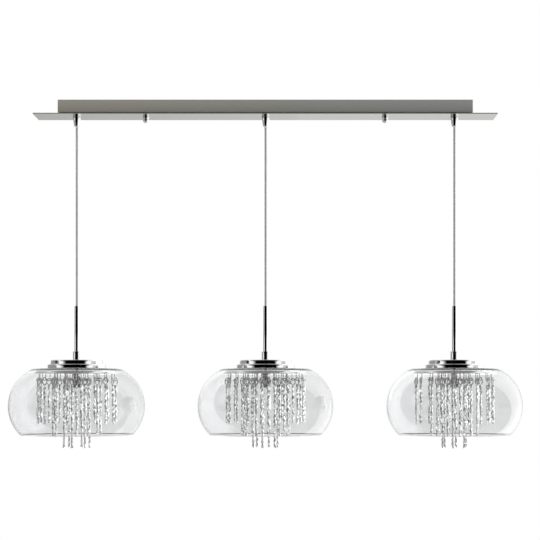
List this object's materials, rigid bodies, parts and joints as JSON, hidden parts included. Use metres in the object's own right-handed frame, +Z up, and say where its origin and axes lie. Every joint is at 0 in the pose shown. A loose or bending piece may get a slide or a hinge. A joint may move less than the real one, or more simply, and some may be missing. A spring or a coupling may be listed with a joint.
{
  "type": "linear island pendant light",
  "caption": "Bar ceiling light: a slim box and polished plate carry cables, stems and clear flattened-globe shades round rings of hanging twisted silver strands.",
  "frame": {"origin": "centre of the face that lies against the ceiling", "axes": "+X along the bar, to the right seen from the front; +Y to the back; +Z up, out of the ceiling face"},
  "size_m": [1.06, 0.28, 0.7135],
  "materials": {
    "satin_nickel": "satin nickel plate",
    "polished_plate": "polished chrome sheet",
    "chrome": "mirror chrome",
    "zinc_steel": "zinc-plated steel",
    "screw_steel": "dark nickel",
    "terminal_plastic": "moulded",
    "bush_nylon": "moulded nylon",
    "cable_jacket": "clear jacket over a tinned braid",
    "clear_gasket": "clear silicone",
    "clear_glass": "clear blown glass",
    "silver_wire": "bright twisted wire",
    "ceramic": "glazed ceramic",
    "lamp_glass": "frosted capsule"
  },
  "bodies": {
    "root": {"ceiling_bracket": "zinc_steel", "bracket_studs": "zinc_steel", "canopy_box": "satin_nickel", "canopy_plate": "polished_plate", "plate_spacers": "zinc_steel", "ball_nuts": "chrome", "grip_lock_nuts": "zinc_steel", "terminal_block": "terminal_plastic", "inner_leads": "cable_jacket", "cord_grip_left": "chrome", "cord_grip_middle": "chrome", "cord_grip_right": "chrome"},
    "bush_left": {"cable_bush_left": "bush_nylon"},
    "hanging_cable_left": {"cable_left": "cable_jacket"},
    "pendant_left": {"stem_tube_left": "chrome", "stem_coupler_left": "chrome", "cap_cup_left": "chrome", "cap_flange_left": "chrome", "cap_screws_left": "screw_steel", "glass_gaskets_left": "clear_gasket", "glass_shade_left": "clear_glass", "carrier_pan_left": "chrome", "clamp_nut_left": "zinc_steel", "lamp_holder_left": "ceramic", "lamp_left": "lamp_glass", "strands_short_left": "silver_wire", "strands_medium_left": "silver_wire", "strands_long_left": "silver_wire"},
    "bush_middle": {"cable_bush_middle": "bush_nylon"},
    "hanging_cable_middle": {"cable_middle": "cable_jacket"},
    "pendant_middle": {"stem_tube_middle": "chrome", "stem_coupler_middle": "chrome", "cap_cup_middle": "chrome", "cap_flange_middle": "chrome", "cap_screws_middle": "screw_steel", "glass_gaskets_middle": "clear_gasket", "glass_shade_middle": "clear_glass", "carrier_pan_middle": "chrome", "clamp_nut_middle": "zinc_steel", "lamp_holder_middle": "ceramic", "lamp_middle": "lamp_glass", "strands_short_middle": "silver_wire", "strands_medium_middle": "silver_wire", "strands_long_middle": "silver_wire"},
    "bush_right": {"cable_bush_right": "bush_nylon"},
    "hanging_cable_right": {"cable_right": "cable_jacket"},
    "pendant_right": {"stem_tube_right": "chrome", "stem_coupler_right": "chrome", "cap_cup_right": "chrome", "cap_flange_right": "chrome", "cap_screws_right": "screw_steel", "glass_gaskets_right": "clear_gasket", "glass_shade_right": "clear_glass", "carrier_pan_right": "chrome", "clamp_nut_right": "zinc_steel", "lamp_holder_right": "ceramic", "lamp_right": "lamp_glass", "strands_short_right": "silver_wire", "strands_medium_right": "silver_wire", "strands_long_right": "silver_wire"}
  },
  "joints": [
    {"name": "front_back_swing_left", "type": "hinge", "parent": "root", "child": "bush_left", "pos_m": [-0.39, 0, -0.048], "axis": [1, 0, 0], "range_deg": [-20, 20]},
    {"name": "sideways_swing_left", "type": "hinge", "parent": "bush_left", "child": "hanging_cable_left", "pos_m": [-0.39, 0, -0.048], "axis": [0, 1, 0], "range_deg": [-5, 12]},
    {"name": "height_left", "type": "slide", "parent": "hanging_cable_left", "child": "pendant_left", "axis": [0, 0, 1], "range_m": [0, 0.3], "deforming": ["cable_left"]},
    {"name": "front_back_swing_middle", "type": "hinge", "parent": "root", "child": "bush_middle", "pos_m": [0, 0, -0.048], "axis": [1, 0, 0], "range_deg": [-20, 20]},
    {"name": "sideways_swing_middle", "type": "hinge", "parent": "bush_middle", "child": "hanging_cable_middle", "pos_m": [0, 0, -0.048], "axis": [0, 1, 0], "range_deg": [-5, 5]},
    {"name": "height_middle", "type": "slide", "parent": "hanging_cable_middle", "child": "pendant_middle", "axis": [0, 0, 1], "range_m": [0, 0.3], "deforming": ["cable_middle"]},
    {"name": "front_back_swing_right", "type": "hinge", "parent": "root", "child": "bush_right", "pos_m": [0.39, 0, -0.048], "axis": [1, 0, 0], "range_deg": [-20, 20]},
    {"name": "sideways_swing_right", "type": "hinge", "parent": "bush_right", "child": "hanging_cable_right", "pos_m": [0.39, 0, -0.048], "axis": [0, 1, 0], "range_deg": [-12, 5]},
    {"name": "height_right", "type": "slide", "parent": "hanging_cable_right", "child": "pendant_right", "axis": [0, 0, 1], "range_m": [0, 0.3], "deforming": ["cable_right"]}
  ]
}
